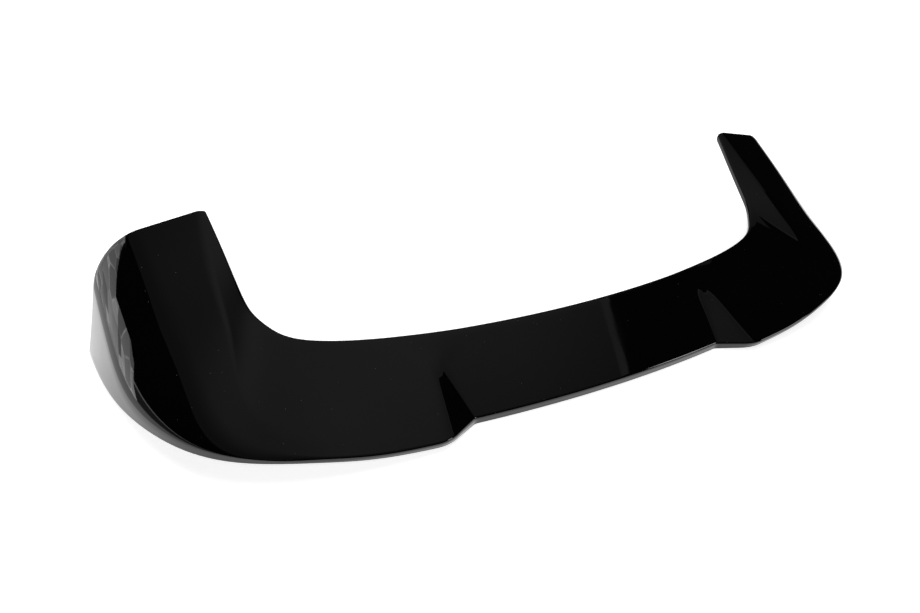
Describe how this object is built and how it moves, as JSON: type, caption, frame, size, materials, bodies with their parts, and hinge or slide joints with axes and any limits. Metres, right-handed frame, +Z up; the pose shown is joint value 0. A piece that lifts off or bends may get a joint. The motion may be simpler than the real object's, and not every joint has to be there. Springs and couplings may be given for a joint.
{
  "type": "car spoiler",
  "caption": "U-shaped rear roof spoiler cap in gloss black plastic: a thin moulded shell, open underneath, with a stepped trailing edge, rolled cheeks and legs that point forward.",
  "frame": {"origin": "on the floor, under the middle of the box around the part as it lies", "axes": "+X across the car to its right, +Y towards the front of the car, +Z up from the floor; the part lies nose up by 27.2 degrees about X from the way it is fitted"},
  "size_m": [1.1892, 0.3332, 0.1839],
  "materials": {
    "gloss_black": "gloss"
  },
  "bodies": {
    "root": {"spoiler_cap": "gloss_black"}
  },
  "joints": []
}
